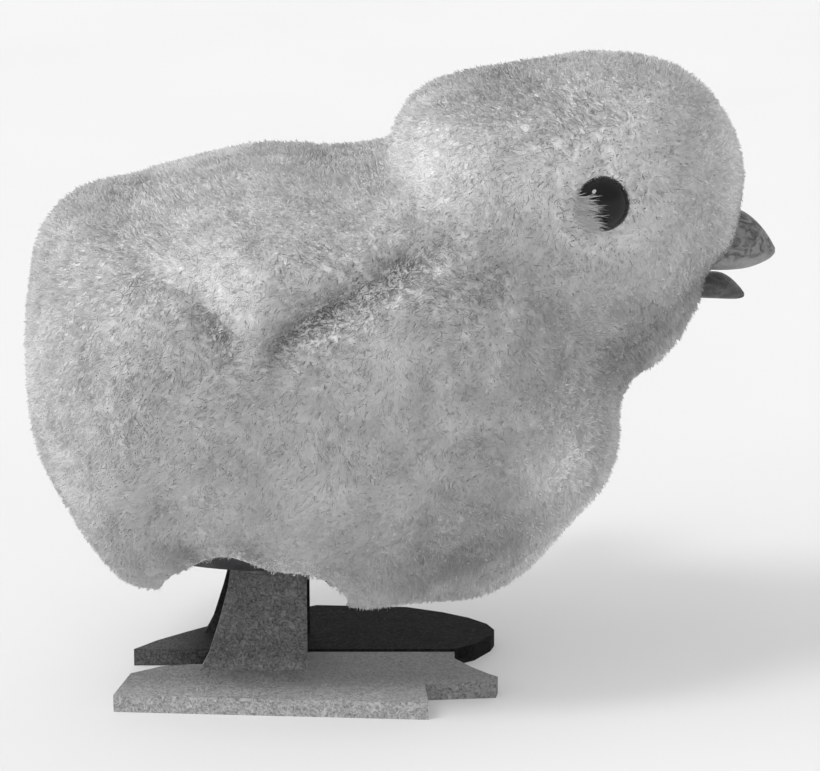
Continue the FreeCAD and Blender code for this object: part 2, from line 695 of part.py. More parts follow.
# Sole outlines as X and distance out from the mid-plane. The right foot has a long middle toe
# and a short outer one; the left foot tapers to its middle toe without a step, and its heel is
# cut back on its outer side.
RIGHT_TOES = [(5.3, 0.4), (5.3, 2.3), (6.9, 4.8), (8.4, 6.6), (9.4, 7.6), (9.2, 8.9),
              (2.4, 9.6), (2.7, 15.0)]
LEFT_TOES = [(5.3, 0.4), (7.3, 1.9), (8.9, 4.6), (9.3, 6.2), (8.6, 8.0), (6.8, 9.9),
             (4.2, 11.6), (0.6, 13.2)]
RIGHT_HEEL = [(-27.2, 12.8), (-25.9, 6.6), (-23.0, 4.6), (-20.2, 4.0), (-12.0, 4.0), (-9.6, 0.4)]
LEFT_HEEL = [(-8.4, 13.8), (-18.3, 8.0), (-21.2, 5.5), (-23.8, 3.1), (-26.0, 0.4)]
# Leg outline in X and Z, wider toward the heel at its foot
LEG = [(-19.6, 1.1), (-18.4, 3.4), (-17.4, 6.6), (-16.5, 10.0), (-16.0, 14.0), (-16.0, 27.0),
       (-14.4, 28.6), (-10.6, 28.6), (-9.0, 27.0), (-8.9, 1.1)]


def inset_outline(corners, distance):
    """Corners of an outline moved inward by a distance, edge by edge."""
    area = sum(a[0] * b[1] - b[0] * a[1] for a, b in zip(corners, corners[1:] + corners[:1]))
    inward = 1 if area > 0 else -1
    moved = []
    for before, here, after in zip(corners[-1:] + corners[:-1], corners, corners[1:] + corners[:1]):
        lines = []
        for start, end in ((before, here), (here, after)):
            length = math.hypot(end[0] - start[0], end[1] - start[1])
            along = ((end[0] - start[0]) / length, (end[1] - start[1]) / length)
            normal = (-along[1] * inward, along[0] * inward)
            lines.append((start[0] + normal[0] * distance, start[1] + normal[1] * distance, along))
        (x1, y1, d1), (x2, y2, d2) = lines
        cross = d1[0] * d2[1] - d1[1] * d2[0]
        reach = ((x2 - x1) * d2[1] - (y2 - y1) * d2[0]) / cross
        moved.append((round(x1 + d1[0] * reach, 4), round(y1 + d1[1] * reach, 4)))
    return moved


def build_feet():
    for label, side, outline in (("right_foot", -1, RIGHT_TOES + RIGHT_HEEL),
                                 ("left_foot", 1, LEFT_TOES + LEFT_HEEL)):
        corners = [(x, side * y) for x, y in outline]
        body = new_body(label)
        sole = new_sketch(body, "sole", "XY_Plane")
        add_outline(sole, corners)
        pad(body, sole, "sole_height")
        hollow = new_sketch(body, "hollow", "XY_Plane")
        add_outline(hollow, inset_outline(corners, size("tin")))
        under = body.newObject("PartDesign::Pocket", label + "_under")
        under.Profile = hollow
        under.Reversed = True
        tie(under, "Length", "sole_height - tin")
        doc.recompute()
        leg = new_sketch(body, "leg", "XZ_Plane", "leg_in" if side < 0 else "0 - leg_in")
        add_outline(leg, LEG)
        add_circle(leg, "crank_x", "crank_z + throw", "leg_pin_hole")
        add_circle(leg, "crank_x", "guide_z + throw", "guide_hole")
        body.Tip = pad(body, leg, "tin", toward_plus_y=side > 0)
        keep(body)


# ---- Key -------------------------------------------------------------------------------------


def build_key():
    body = new_body("winding_key")
    stem = new_sketch(body, "stem")
    add_circle(stem, "0", "0", "key_stem")
    pad(body, stem, "key_stem_end - key_start", toward_plus_y=True)
    lobes = new_sketch(body, "web", "YZ_Plane")
    add_outline(lobes, [("key_stem_end - key_start - 1", "0 - key_web"),
                        ("key_end - key_start", "0 - key_web"),
                        ("key_end - key_start", "key_web"),
                        ("key_stem_end - key_start - 1", "key_web")])
    pad(body, lobes, "key_thick", both=True)
    for name, way in (("upper_lobe", ""), ("lower_lobe", "0 - ")):
        lobe = new_sketch(body, name, "YZ_Plane")
        add_circle(lobe, "key_lobe_y - key_start", way + "key_lobe_z", "key_lobe")
        pad(body, lobe, "key_thick", both=True)
    for name, way in (("upper_eye", ""), ("lower_eye", "0 - ")):
        eye = new_sketch(body, name, "YZ_Plane")
        add_circle(eye, "key_lobe_y - key_start", way + "key_lobe_z", "key_eye")
        cut_through(body, eye)
    bore = new_sketch(body, "bore")
    add_circle(bore, "0", "0", "key_bore")
    socket = body.newObject("PartDesign::Pocket", "winding_key_bore_cut")
    socket.Profile = bore
    tie(socket, "Length", "key_bore_end - key_start")
    body.Tip = socket
    place(body, "main_x", "key_start", "main_z")
    keep(body)

    tube = ring("eyelet_tube", "eyelet_radius", "eyelet_bore", "eyelet_in", "eyelet_out",
                "main_x", "main_z")
    flange = ring("eyelet_rim", "eyelet_flange", "eyelet_bore", "eyelet_flange_in",
                  "eyelet_out", "main_x", "main_z")
    keep(joined("key_eyelet", tube, flange))


build_plush_cover()
build_wings()
build_body_shells()
build_belly_plate()
build_eyes()
build_beak("upper_beak", UPPER_BEAK)
build_beak("lower_beak", LOWER_BEAK)
build_motor_plates()
build_pillars_and_screws()
build_guide()
build_arbors()
build_gears()
build_escape_wheel()
build_pallet()
build_ratchet()
build_mainspring()
build_cranks()
build_feet()
build_key()
doc.recompute()

for thing in doc.Objects:
    if "Invalid" in thing.State or "Error" in thing.State:
        raise RuntimeError(thing.Name + " failed: " + str(thing.State))
os.makedirs("parts", exist_ok=True)
for thing in nodes:
    if thing.Shape.isNull() or not thing.Shape.isValid():
        raise RuntimeError(thing.Label + " has no valid shape")
    thing.Shape.exportStep("parts/" + thing.Label + ".step")
    box = thing.Shape.BoundBox
    print("%-18s solids %d volume %9.2f  x %6.2f %6.2f  y %6.2f %6.2f  z %6.2f %6.2f" % (
        thing.Label, len(thing.Shape.Solids), thing.Shape.Volume,
        box.XMin, box.XMax, box.YMin, box.YMax, box.ZMin, box.ZMax))
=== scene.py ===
import json
import math

import bpy
import numpy as np
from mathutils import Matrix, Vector
from mathutils.kdtree import KDTree


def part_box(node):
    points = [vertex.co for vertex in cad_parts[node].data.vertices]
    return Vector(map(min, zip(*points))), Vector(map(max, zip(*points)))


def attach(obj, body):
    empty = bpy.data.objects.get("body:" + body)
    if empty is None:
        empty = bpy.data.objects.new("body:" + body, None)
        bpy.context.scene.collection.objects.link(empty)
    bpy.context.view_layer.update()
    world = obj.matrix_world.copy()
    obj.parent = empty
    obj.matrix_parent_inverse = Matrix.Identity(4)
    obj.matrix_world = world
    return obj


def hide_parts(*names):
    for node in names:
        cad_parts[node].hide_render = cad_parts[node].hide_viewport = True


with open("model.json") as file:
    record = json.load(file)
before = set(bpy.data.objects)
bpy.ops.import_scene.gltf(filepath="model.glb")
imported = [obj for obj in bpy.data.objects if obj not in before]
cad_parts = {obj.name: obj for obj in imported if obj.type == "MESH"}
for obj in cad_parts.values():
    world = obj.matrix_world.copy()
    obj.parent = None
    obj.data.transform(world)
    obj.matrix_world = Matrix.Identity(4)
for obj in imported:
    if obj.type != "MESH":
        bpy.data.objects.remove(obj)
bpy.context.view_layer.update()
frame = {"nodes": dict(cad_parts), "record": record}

# A wind-up hopping chick: a plush body on two stamped tin feet. Lengths inside the helpers are
# millimetres; they become metres when a mesh is made. +X is forward and -Y is the near side.

MM = 0.001
SCENE = bpy.context.scene


def node_box(name):
    """Lowest and highest corner of a CAD node, in millimetres."""
    low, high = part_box(name)
    return np.array(low) / MM, np.array(high) / MM


def node_middle(name):
    low, high = node_box(name)
    return (low + high) / 2


# ---- Number helpers --------------------------------------------------------------------------


def unit(vectors):
    lengths = np.linalg.norm(vectors, axis=-1, keepdims=True)
    return vectors / np.maximum(lengths, 1e-9)


def ramp(values, start, end):
    """0 before start, 1 after end, smooth between."""
    share = np.clip((values - start) / (end - start), 0.0, 1.0)
    return share * share * (3.0 - 2.0 * share)


def soft_noise(points, cell, seed):
    """Three smooth random numbers from -1 to 1 at each point, changing over one cell length."""
    rng = np.random.default_rng(seed)
    lattice = rng.uniform(-1.0, 1.0, (32, 32, 32, 3))
    place = points / cell + 100.0
    corner = np.floor(place).astype(int)
    share = place - corner
    share = share * share * (3.0 - 2.0 * share)
    total = np.zeros((len(points), 3))
    for step in np.ndindex(2, 2, 2):
        weight = np.ones(len(points))
        for axis in range(3):
            weight = weight * (share[:, axis] if step[axis] else 1.0 - share[:, axis])
        index = (corner + np.array(step)) % 32
        total += weight[:, None] * lattice[index[:, 0], index[:, 1], index[:, 2]]
    return total


def vertex_normals(points, quads):
    """The outward direction at each point, averaged over the quads round it."""
    across = points[quads[:, 2]] - points[quads[:, 0]]
    up = points[quads[:, 3]] - points[quads[:, 1]]
    face = np.cross(across, up)
    total = np.zeros_like(points)
    for column in range(4):
        np.add.at(total, quads[:, column], face)
    return unit(total)


# ---- Mesh helpers ----------------------------------------------------------------------------


def mesh_object(name, points, faces):
    """An object whose mesh has these points, in millimetres, and faces."""
    mesh = bpy.data.meshes.new(name)
    mesh.from_pydata((np.asarray(points) * MM).tolist(), [], faces)
    mesh.update()
    thing = bpy.data.objects.new(name, mesh)
    SCENE.collection.objects.link(thing)
    return thing


def apply_modifiers(thing):
    """Replaces the object's mesh with what its modifiers make of it."""
    graph = bpy.context.evaluated_depsgraph_get()
    graph.update()
    made = bpy.data.meshes.new_from_object(thing.evaluated_get(graph))
    old = thing.data
    thing.modifiers.clear()
    thing.data = made
    made.name = thing.name
    bpy.data.meshes.remove(old)


def quad_arrays(mesh):
    """The mesh's points, in millimetres, and the four corners of each of its faces."""
    points = np.empty(len(mesh.vertices) * 3)
    mesh.vertices.foreach_get("co", points)
    corners = np.empty(len(mesh.loops), dtype=np.int64)
    mesh.loops.foreach_get("vertex_index", corners)
    return points.reshape(-1, 3) / MM, corners.reshape(-1, 4)


# ---- Soft body -------------------------------------------------------------------------------

# Egg forms the body is blended from: middle, half sizes, squareness along and across, and how
# far the middle line rises toward both ends
EGGS = {
    "body": ((-7.2, 0.0, 29.7), (27.8, 20.6, 21.9), 2.9, 2.3, 1.8),
    "head": ((15.8, 0.0, 47.4), (16.5, 13.4, 13.1), 2.5, 2.1, 0.0),
    "throat": ((15.5, 0.0, 34.8), (10.6, 11.0, 8.0), 2.1, 2.0, 0.0),
}
EGG_RINGS, EGG_AROUND = 36, 56
POLE_SHARE = 0.004  # radius of the first and last ring of an egg, as a share of its half width
BACKING_INSET = 0.2
BACKING_THICK = 0.55
VOXEL = 0.6
BLEND_REACH = (1.0, 5.0)  # how near to two eggs the join is smoothed: fully, and not at all
BLEND_ROUNDS, FINISH_ROUNDS = 160, 6
NUDGE = 0.05  # a short step for measuring a slope
EDGE_ROUNDS = 3

EYES = {side: node_middle("eye_" + side) for side in ("right", "left")}
EYE_RADIUS = (node_box("eye_right")[1][2] - node_box("eye_right")[0][2]) / 2
EYE_FRONT = node_box("eye_left")[1][1]
BEAK = node_middle("upper_beak")
LOWER_BEAK = node_middle("lower_beak")
KEY = node_middle("key_eyelet")
EYE_LAP, KEY_LAP = 0.35, 0.9  # how far the plush lies over the edge of a bead and the eyelet
EYE_HOLE = EYE_RADIUS - EYE_LAP
KEY_HOLE = (node_box("key_eyelet")[1][2] - node_box("key_eyelet")[0][2]) / 2 - KEY_LAP
BEAK_HOLE, LOWER_BEAK_HOLE = 3.3, 2.6
FACE_DEPTH = 8.0  # how far behind the beak's middle its holes reach
NO_HOLE = 1000.0  # a gap wide enough to mean that there is no hole here
HATCH_BACK, HATCH_FRONT, HATCH_TOP, HATCH_ROUND = -22.8, -5.0, 14.9, 4.6
HEM_RISE = (-16.2, 3.2, 1.9)  # where the hem lifts over the legs: X, half width, height


def power(values, squareness):
    """Bends a sine or cosine so that a circle becomes squarer; squareness 2 leaves it round."""
    return np.sign(values) * np.abs(values) ** (2.0 / squareness)


def egg_mesh(name, inset):
    """One egg form as points and faces, closed at both ends."""
    middle, half, along_power, ring_power, lift = EGGS[name]
    rings, around = EGG_RINGS, EGG_AROUND
    points, faces = [], []
    for ring in range(rings + 1):
        angle = math.pi * ring / rings
        along = -power(np.array(math.cos(angle)), along_power)
        share = power(np.array(math.sin(angle)), along_power) if 0 < ring < rings else POLE_SHARE
        turn = 2 * math.pi * np.arange(around) / around
        xs = np.full(around, middle[0] + (half[0] - inset) * along)
        ys = (half[1] - inset) * share * power(np.cos(turn), ring_power)
        zs = middle[2] + lift * along * along + (half[2] - inset) * share * power(
            np.sin(turn), ring_power)
        points.append(np.stack([xs, ys, zs], axis=1))
    for ring in range(rings):
        for step in range(around):
            after = (step + 1) % around
            low, high = ring * around, (ring + 1) * around
            faces.append((low + step, low + after, high + after, high + step))
    faces.append(tuple(range(around))[::-1])
    faces.append(tuple(range(rings * around, (rings + 1) * around)))
    return np.concatenate(points), faces


def egg_distance(name, points, inset):
    """Roughly how far points lie outside one egg form."""
    middle, half, along_power, ring_power, lift = EGGS[name]
    along = (points[:, 0] - middle[0]) / (half[0] - inset)
    inside = np.clip(1.0 - np.abs(along) ** along_power, 1e-4, 1.0)
    share = inside ** (1.0 / along_power)
    y = np.abs(points[:, 1]) / ((half[1] - inset) * share)
    z = np.abs(points[:, 2] - middle[2] - lift * along ** 2) / ((half[2] - inset) * share)
    radius = (y ** ring_power + z ** ring_power) ** (1.0 / ring_power)
    beyond = np.maximum(np.abs(along) - 1.0, 0.0) * half[0]
    return (radius - 1.0) * share * half[1] + beyond


def neighbour_means(points, quads):
    """The average of each point's neighbours along the quads' edges."""
    starts = np.concatenate([quads[:, i] for i in range(4)])
    ends = np.concatenate([quads[:, (i + 1) % 4] for i in range(4)])
    count = np.bincount(starts, minlength=len(points)) + np.bincount(ends, minlength=len(points))
    total = np.empty_like(points)
    for axis in range(3):
        total[:, axis] = np.bincount(starts, points[ends, axis], len(points))
        total[:, axis] += np.bincount(ends, points[starts, axis], len(points))
    return total / np.maximum(count, 1)[:, None]


def smooth(points, quads, amount, rounds):
    """Moves each point toward its neighbours' average, by its own amount each round."""
    for _ in range(rounds):
        points = points + amount[:, None] * (neighbour_means(points, quads) - points)
    return points


def blended_body():
    """Body, head and throat as one closed soft form: points and quads."""
    points, faces = [], []
    for name in EGGS:
        egg_points, egg_faces = egg_mesh(name, BACKING_INSET)
        base = sum(len(p) for p in points)
        points.append(egg_points)
        faces.extend(tuple(base + i for i in face) for face in egg_faces)
    form = mesh_object("form", np.concatenate(points), faces)
    remesh = form.modifiers.new("one_skin", "REMESH")
    remesh.mode = "VOXEL"
    remesh.voxel_size = VOXEL * MM
    apply_modifiers(form)
    points, quads = quad_arrays(form.data)
    bpy.data.objects.remove(form)
    distances = np.sort(np.abs(np.stack(
        [egg_distance(name, points, BACKING_INSET) for name in EGGS], axis=1)), axis=1)
    crease = 1.0 - ramp(distances[:, 1], *BLEND_REACH)
    side = ramp(np.abs(points[:, 1]), 1.5, 9.0)
    nape = (points[:, 2] > 44.0) & (points[:, 0] < 8.0)
    amount = 0.5 * crease * np.where(nape, 0.06 + 0.94 * side, 1.0)
    points = smooth(points, quads, amount, BLEND_ROUNDS)
    points = smooth(points, quads, np.full(len(points), 0.4), FINISH_ROUNDS)
    return points, quads


# Presses and swells of the soft form, seen from the side: X, Z, radius, and how far the surface
# moves out (in, if negative) near the mid-plane
DABS = [
    (-26.5, 51.0, 6.0, -1.5), (-19.5, 52.5, 6.0, -1.0), (-34.0, 46.0, 4.5, 1.1),
    (-6.0, 52.0, 5.0, -0.7), (-31.5, 18.5, 5.5, -0.9), (-27.5, 10.0, 4.5, 0.9),
    (23.8, 29.5, 3.6, -1.8), (28.0, 35.0, 3.4, 1.0), (17.5, 14.0, 5.5, -1.0),
    (9.5, 8.8, 6.0, 0.5), (20.9, 21.5, 3.8, 0.7), (0.6, 56.0, 4.5, 0.9),
    (9.5, 61.0, 6.0, -0.8), (26.0, 59.0, 5.0, 0.5), (29.5, 40.2, 3.2, -1.4),
    (2.0, 9.0, 5.0, -0.6),
]


def dabbed(points, quads):
    """The form with every press and swell of DABS, fading out toward its sides."""
    normals = vertex_normals(points, quads)
    middle = 1.0 - ramp(np.abs(points[:, 1]), 8.0, 17.0)
    move = np.zeros(len(points))
    for x, z, radius, amount in DABS:
        squared = (points[:, 0] - x) ** 2 + (points[:, 2] - z) ** 2
        move += amount * np.exp(-squared / (radius * radius))
    return points + normals * (move * middle)[:, None]


def hatch_gap(points):
    """Distance from the edge of the leg opening in side view; negative inside the opening."""
    centre = (HATCH_BACK + HATCH_FRONT) / 2
    half = (HATCH_FRONT - HATCH_BACK) / 2 - HATCH_ROUND
    x = np.abs(points[:, 0] - centre) - half
    rise = HEM_RISE[2] * np.exp(-((points[:, 0] - HEM_RISE[0]) / HEM_RISE[1]) ** 2)
    z = points[:, 2] - (HATCH_TOP - HATCH_ROUND) - rise
    outside = np.hypot(np.maximum(x, 0.0), np.maximum(z, 0.0))
    return outside + np.minimum(np.maximum(x, z), 0.0) - HATCH_ROUND


def round_gap(points, middle, radius, across, up):
    """How far points are outside a round hole that is seen along the third axis."""
    return np.hypot(points[:, across] - middle[across], points[:, up] - middle[up]) - radius


def hole_gaps(points):
    """For each opening in the plush, how far every point is outside it."""
    front = points[:, 0] > BEAK[0] - FACE_DEPTH
    gaps = [hatch_gap(points)]
    for middle, radius in ((BEAK, BEAK_HOLE), (LOWER_BEAK, LOWER_BEAK_HOLE)):
        gaps.append(np.where(front, round_gap(points, middle, radius, 1, 2), NO_HOLE))
    for middle in EYES.values():
        same_side = points[:, 1] * middle[1] > 20.0
        gaps.append(np.where(same_side, round_gap(points, middle, EYE_HOLE, 0, 2), NO_HOLE))
    left_side = points[:, 1] > 8.0
    gaps.append(np.where(left_side, round_gap(points, KEY, KEY_HOLE, 0, 2), NO_HOLE))
    return np.stack(gaps, axis=1)


def settled(points, gap):
    """Points near the edge of an opening or outline, moved onto it along the gap's slope."""
    here = gap(points)
    slope = np.zeros_like(points)
    for axis in range(3):
        moved = points.copy()
        moved[:, axis] += NUDGE
        slope[:, axis] = (gap(moved) - here) / NUDGE
    return points - slope * np.clip(here, -VOXEL, VOXEL)[:, None]


def open_holes(points, quads):
    """Takes out the quads inside the openings and trues up the edge that is left."""
    middles = points[quads].mean(axis=1)
    quads = quads[hole_gaps(middles).min(axis=1) > 0.0]
    used, quads = np.unique(quads, return_inverse=True)
    quads = quads.reshape(-1, 4)
    points = points[used]
    edge = boundary_points(quads, len(points))
    rows = np.arange(len(edge))
    for _ in range(EDGE_ROUNDS):
        nearest = hole_gaps(points[edge]).argmin(axis=1)
        points[edge] = settled(points[edge], lambda places: hole_gaps(places)[rows, nearest])
    return points, quads


def boundary_points(quads, count):
    """The points on the rim of a sheet: those on an edge that only one quad has."""
    edges = np.concatenate([quads[:, [i, (i + 1) % 4]] for i in range(4)])
    edges.sort(axis=1)
    keys = edges[:, 0] * count + edges[:, 1]
    single, times = np.unique(keys, return_counts=True)
    single = single[times == 1]
    return np.unique(np.concatenate([single // count, single % count]))


def lumpy(points, quads, size, cell, seed):
    """The form with soft random swells, as stuffing gives."""
    normals = vertex_normals(points, quads)
    return points + normals * (size * soft_noise(points, cell, seed)[:, :1])


# ---- Wings -----------------------------------------------------------------------------------

# Wing outline in side view: front root, along the lower edge to the tip, and up the rump
WING = np.array([(1.6, 46.4), (-2.6, 43.2), (-7.0, 41.2), (-10.6, 39.4), (-12.8, 38.2),
                 (-14.2, 38.4), (-16.2, 40.0), (-18.8, 41.8), (-22.4, 43.4), (-25.2, 45.6),
                 (-26.6, 50.0), (-10.0, 54.0), (1.0, 54.0)])
WING_EDGE_Y = 8.5
WING_LIFT = 0.75
WING_THICK = 0.4
WING_COVER = 1.2  # how far inside the wing's outline the body's own pile stops
CREASE_DEEP, CREASE_WIDE = 0.9, 1.9


def wing_gap(points):
    """How far points lie inside the wing's outline in side view; negative outside."""
    x, z = points[:, 0], points[:, 2]
    nearest = np.full(len(points), 1e9)
    inside = np.zeros(len(points), dtype=bool)
    for (x1, z1), (x2, z2) in zip(WING, np.roll(WING, -1, axis=0)):
        share = ((x - x1) * (x2 - x1) + (z - z1) * (z2 - z1)) / ((x2 - x1) ** 2 + (z2 - z1) ** 2)
        share = np.clip(share, 0.0, 1.0)
        gap = np.hypot(x - x1 - share * (x2 - x1), z - z1 - share * (z2 - z1))
        nearest = np.minimum(nearest, gap)
        crosses = (z1 > z) != (z2 > z)
        with np.errstate(divide="ignore", invalid="ignore"):
            meet = x1 + (z - z1) * (x2 - x1) / (z2 - z1)
        inside ^= crosses & (x < meet)
    outline = np.where(inside, nearest, -nearest)
    return np.minimum(outline, np.abs(points[:, 1]) - WING_EDGE_Y)


def crease_strength(points):
    """How strongly each point belongs to the fold under a wing's lower edge, from 0 to 1."""
    below = -wing_gap(points)
    band = np.exp(-((below - 0.8) / CREASE_WIDE) ** 2)
    low = 1.0 - ramp(points[:, 2], 44.8, 47.0)
    side = ramp(np.abs(points[:, 1]), WING_EDGE_Y, WING_EDGE_Y + 4.0)
    tip_gap = 1.0 - np.exp(-((points[:, 0] + 12.9) / 1.9) ** 2)
    rear = 1.0 - 0.75 * ramp(-points[:, 0], 17.5, 20.5)
    return band * low * side * tip_gap * rear


def creased(points, quads):
    """The form pressed in along the fold under each wing."""
    normals = vertex_normals(points, quads)
    return points - normals * (CREASE_DEEP * crease_strength(points))[:, None]


# ---- Pile ------------------------------------------------------------------------------------

DENSITY = 46.0  # blades to the square millimetre
BLADE_WIDTH = 0.042
BLADE_LENGTH = 1.15
PER_TUFT = 50
TUFT_PULL = 0.3
BROW_BLADES = 330
SEAM_WIDE = 0.8


def scatter(points, quads, normals, per_mm2, rng):
    """Random places spread evenly over quads, with the normal at each."""
    triangles = np.concatenate([quads[:, [0, 1, 2]], quads[:, [0, 2, 3]]])
    a, b, c = (points[triangles[:, i]] for i in range(3))
    area = np.linalg.norm(np.cross(b - a, c - a), axis=1) / 2
    count = int(area.sum() * per_mm2)
    chosen = rng.choice(len(triangles), size=count, p=area / area.sum())
    first, second = rng.random(count), rng.random(count)
    over = first + second > 1.0
    first[over], second[over] = 1.0 - first[over], 1.0 - second[over]
    weights = np.stack([1.0 - first - second, first, second], axis=1)[:, :, None]
    corners = triangles[chosen]
    roots = (points[corners] * weights).sum(axis=1)
    return roots, unit((normals[corners] * weights).sum(axis=1))


def comb(roots, normals, wild):
    """The way the pile leans at each root, along the backing."""
    down = np.array([-0.3, 0.0, -0.35])
    swirl = 0.5 * soft_noise(roots, 6.0, 11) + 0.45 * soft_noise(roots, 2.2, 12)
    lean = down + wild * swirl
    away = ramp(hatch_gap(roots), 3.0, 0.3)[:, None]
    hatch_middle = np.array([(HATCH_BACK + HATCH_FRONT) / 2, 0.0, 8.0])
    outward = unit((roots - hatch_middle) * np.array([1.0, 0.0, 1.0]))
    lean = lean * (1.0 - away) + away * outward * 1.1
    lean = lean - normals * (lean * normals).sum(axis=1, keepdims=True)
    return lean


def pile_length(roots):
    """Length of the pile: shorter on the face, at openings, in the folds and along the seam."""
    length = np.full(len(roots), BLADE_LENGTH)
    length -= 0.15 * ramp(roots[:, 0], 8.0, 18.0) * ramp(roots[:, 2], 36.0, 42.0)
    for middle in EYES.values():
        distance = np.linalg.norm(roots - middle, axis=1)
        length *= 0.62 + 0.38 * ramp(distance, EYE_RADIUS, EYE_RADIUS + 3.0)
    length *= 0.4 + 0.6 * ramp(np.linalg.norm(roots - BEAK, axis=1), 4.0, 8.0)
    length *= 0.6 + 0.4 * ramp(hatch_gap(roots), 0.0, 2.0)
    length *= 1.0 - 0.35 * crease_strength(roots) - 0.3 * seam_strength(roots)
    return length


def brow_blades(middle, seed):
    """Long blades rooted behind one eye and combed forward over the bead's rear edge."""
    rng = np.random.default_rng(seed)
    count = BROW_BLADES
    side = np.sign(middle[1])
    angle = np.radians(rng.uniform(158.0, 236.0, count))
    radius = EYE_RADIUS + rng.uniform(-0.4, 0.3, count)
    roots = np.stack([middle[0] + radius * np.cos(angle), np.full(count, side * (EYE_FRONT - 1.6)),
                      middle[2] + radius * np.sin(angle)], axis=1)
    centred = 1.0 - ((np.degrees(angle) - 192.0) / 50.0) ** 2
    reach = (0.3 + 1.6 * np.clip(centred, 0.0, 1.0)) * rng.uniform(0.75, 1.05, count)
    out = rng.uniform(1.2, 1.75, count)
    drift = rng.normal(0.0, 0.28, (count, 3))
    knees = roots + np.stack([0.3 * reach, side * out, 0.1 * reach], axis=1) + 0.4 * drift
    tips = knees + np.stack([reach, np.full(count, 0.2 * side), 0.05 * reach], axis=1) + drift
    shade = unit(np.stack([np.full(count, -0.35), np.full(count, 0.9 * side),
                           np.full(count, 0.25)], axis=1) + 0.3 * rng.normal(size=(count, 3)))
    return roots, knees, tips, shade, 0.78 + rng.uniform(-0.12, 0.12, count)


def over_eye(roots, directions):
    """Turns the pile behind each eye forward, so that it lies over the bead's rear edge."""
    for middle in EYES.values():
        away = roots - middle
        distance = np.linalg.norm(away, axis=1)
        behind = ramp(-away[:, 0] + 0.15 * away[:, 2], 0.3, 2.0)
        close = 1.0 - ramp(distance, EYE_RADIUS + 0.9, EYE_RADIUS + 2.4)
        pull = (behind * close)[:, None]
        forward = np.array([1.6, 0.5 * np.sign(middle[1]), 0.1])
        directions = directions * (1.0 - pull) + pull * forward
    return directions


def grow(roots, normals, seed, wild=1.0, longer=1.0):
    """Blades at the roots, gathered into tufts: their knees, tips, shading normals and tones."""
    rng = np.random.default_rng(seed)
    count = len(roots)
    lean = over_eye(roots, comb(roots, normals, wild))
    spread = rng.normal(0.0, 0.55, (count, 3))
    length = pile_length(roots) * longer * rng.uniform(0.75, 1.12, count)
    stray = rng.random(count) < 0.05
    upright = np.where(stray, 1.3, rng.uniform(0.35, 0.8, count))
    lean = lean / (0.35 + np.linalg.norm(lean, axis=1, keepdims=True))
    way = unit(normals * upright[:, None] + lean + spread)
    tips = roots + way * length[:, None]

    centres = roots[rng.choice(count, size=max(1, int(count / PER_TUFT)), replace=False)]
    tree = KDTree(len(centres))
    for index, centre in enumerate(centres):
        tree.insert(centre, index)
    tree.balance()
    near = np.array([tree.find(root)[1] for root in roots])
    total = np.zeros((len(centres), 3))
    for axis in range(3):
        total[:, axis] = np.bincount(near, tips[:, axis], len(centres))
    size = np.maximum(np.bincount(near, minlength=len(centres)), 1)[:, None]
    tuft_lean = rng.normal(0.0, 0.15, (len(centres), 3))
    tuft_tips = total / size + tuft_lean
    pull = np.where(stray, 0.1, TUFT_PULL * rng.uniform(0.6, 1.0, count))[:, None]
    tips = tips * (1.0 - pull) + (tuft_tips[near] + 0.35 * (roots - centres[near])) * pull
    knees = roots * 0.5 + tips * 0.5 + normals * (0.16 * length)[:, None]
    knees = knees + rng.normal(0.0, 0.07, (count, 3))
    shade = unit(normals + 0.3 * tuft_lean[near] + rng.normal(0.0, 0.02, (count, 3)))
    tone = pile_tone(roots) + 0.04 * (rng.random(len(centres))[near] - 0.5)
    tone = np.clip(tone + 0.03 * (rng.random(count) - 0.5), 0.0, 1.0)
    return knees, tips, shade, tone


# Places where the pile is painted lighter or darker than the rest, seen from the side: X, Z,
# radius, and how much lighter (darker, if negative). Mostly painted light where the lamps fall, as
# on the nape, rump edge and wing tip, and painted shade where shade falls, as at the throat, the
# belly, under the beak, in the folds under the wings and along the hem over the legs; partly the
# pile's own uneven tone.
PATCHES = [
    (0.5, 52.0, 5.0, 0.20), (-16.0, 43.2, 3.0, 0.50), (14.6, 25.0, 2.8, 0.40),
    (-33.0, 34.0, 5.0, 0.12), (6.0, 18.0, 7.0, -0.27), (7.5, 41.5, 1.6, -0.20),
    (23.0, 37.0, 4.0, -0.36), (20.5, 31.5, 4.0, -0.38), (-16.4, 39.2, 1.5, -0.20),
    (-24.0, 42.5, 2.0, -0.12), (21.0, 45.0, 8.0, 0.20), (27.0, 56.0, 6.0, 0.18),
    (-8.0, 29.0, 7.0, 0.08), (-14.5, 19.5, 5.0, 0.16), (-19.5, 16.0, 2.4, -0.40),
    (-14.0, 17.0, 2.4, -0.30), (19.5, 24.0, 3.0, -0.15), (-26.5, 34.0, 6.0, -0.16),
    (-25.0, 19.0, 5.0, -0.08), (12.0, 57.0, 7.0, -0.08), (-14.0, 50.5, 7.0, 0.10),
    (30.0, 41.5, 2.8, -0.45), (27.5, 39.0, 3.5, -0.25),
]


def seam_strength(points):
    """How strongly each point belongs to the seam along the top of the plush, from 0 to 1."""
    return (1.0 - ramp(np.abs(points[:, 1]), 0.2, SEAM_WIDE)) * ramp(points[:, 2], 44.0, 48.0)


